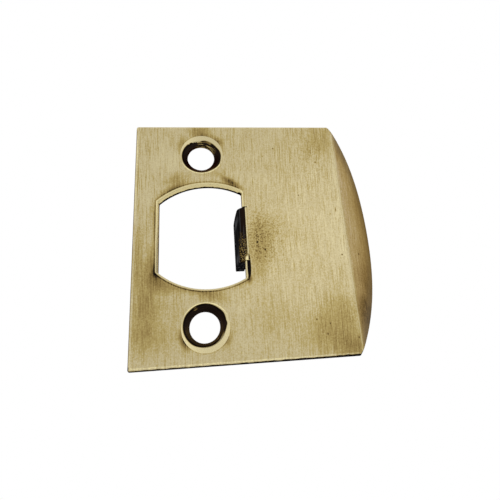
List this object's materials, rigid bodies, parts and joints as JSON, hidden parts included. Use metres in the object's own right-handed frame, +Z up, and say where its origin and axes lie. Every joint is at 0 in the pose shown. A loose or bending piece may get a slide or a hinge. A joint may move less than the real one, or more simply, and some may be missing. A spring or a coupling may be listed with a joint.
{
  "type": "door strike plate",
  "caption": "Flat door strike plate with a curled full-height lip, arched latch opening, bent-back tang and countersunk screw holes.",
  "frame": {"origin": "on the back face, midway between the two screw holes", "axes": "+Z up along the line of the screws, -Y out of the face towards the person in the doorway, +X towards the curled lip"},
  "size_m": [0.057, 0.0124, 0.0572],
  "materials": {
    "antique_brass": "vertically brushed, aged with dark patina"
  },
  "bodies": {
    "root": {"strike_plate": "antique_brass"}
  },
  "joints": []
}
